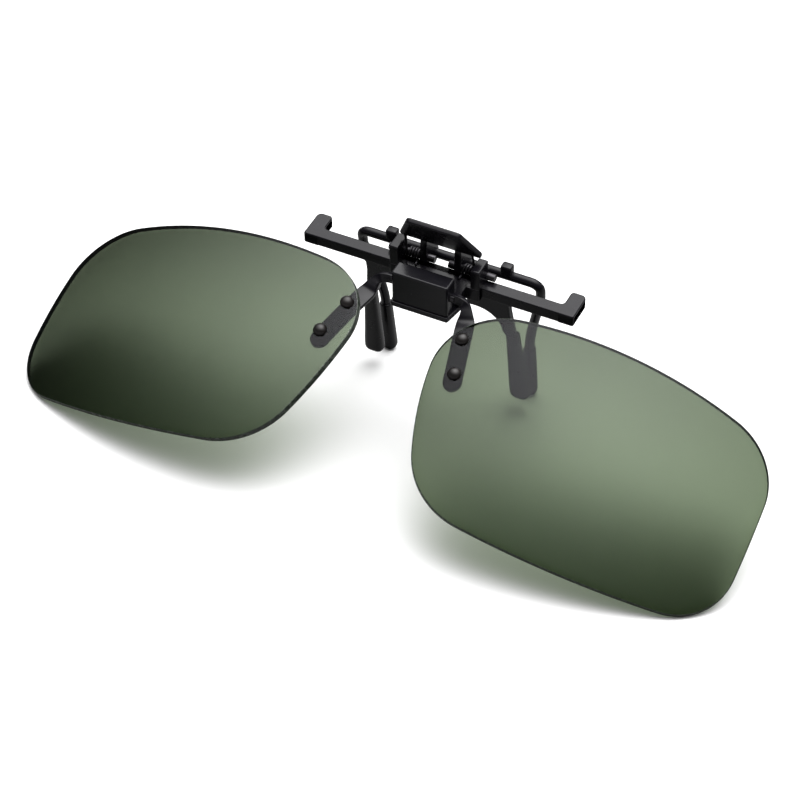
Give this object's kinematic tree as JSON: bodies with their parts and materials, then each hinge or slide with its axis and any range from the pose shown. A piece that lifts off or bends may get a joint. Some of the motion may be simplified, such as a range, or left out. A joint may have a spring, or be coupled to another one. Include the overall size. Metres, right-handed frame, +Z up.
{
  "type": "clip-on sunglasses",
  "caption": "Flip-up clip-on sunglasses: rimless tinted lenses on a hinged bridge and a sprung clip with rubber-tipped legs that grip the bridge of spectacles.",
  "frame": {"origin": "middle of the underside of the whole object's box, on the surface it stands on", "axes": "+X across the face towards the lens on the right of the picture, -Y towards the front where the lenses' lower edges rest, +Z up"},
  "size_m": [0.1314, 0.0546, 0.0393],
  "materials": {
    "black_metal": "satin black coating",
    "box_plastic": "fine matt black",
    "sleeve_rubber": "smooth soft black",
    "steel": "dark drawn wire",
    "rivet_metal": "dark bronze, satin",
    "lens_tint": "polished, green-grey tint, even over the sheet"
  },
  "bodies": {
    "clip": {"front_jaw": "black_metal", "hinge_box": "box_plastic", "box_base": "box_plastic", "detent_spring": "steel", "front_sleeve_left": "sleeve_rubber", "front_sleeve_right": "sleeve_rubber", "spring_left": "steel", "spring_right": "steel"},
    "rear_jaw": {"thumb_lever": "black_metal", "rear_rod": "black_metal", "pivot_pin_left": "steel", "pivot_pin_right": "steel", "rear_sleeve_left": "sleeve_rubber", "rear_sleeve_right": "sleeve_rubber"},
    "lens_unit": {"bridge_shaft": "steel", "bridge_arm_left": "black_metal", "bridge_arm_right": "black_metal", "lens_left": "lens_tint", "lens_right": "lens_tint", "rivets": "rivet_metal", "rivet_collars": "steel"}
  },
  "joints": [
    {"name": "lens_flip", "type": "hinge", "parent": "clip", "child": "lens_unit", "pos_m": [0, 0.00627, 0.02792], "axis": [1, 0, 0], "range_deg": [-22, 67]},
    {"name": "jaw_squeeze", "type": "hinge", "parent": "clip", "child": "rear_jaw", "pos_m": [0, 0.01358, 0.02933], "axis": [1, 0, 0], "range_deg": [0, 20], "stiffness_Nm_per_rad": 0.1, "springref_deg": -25.78, "deforming": ["spring_left", "spring_right"]}
  ]
}
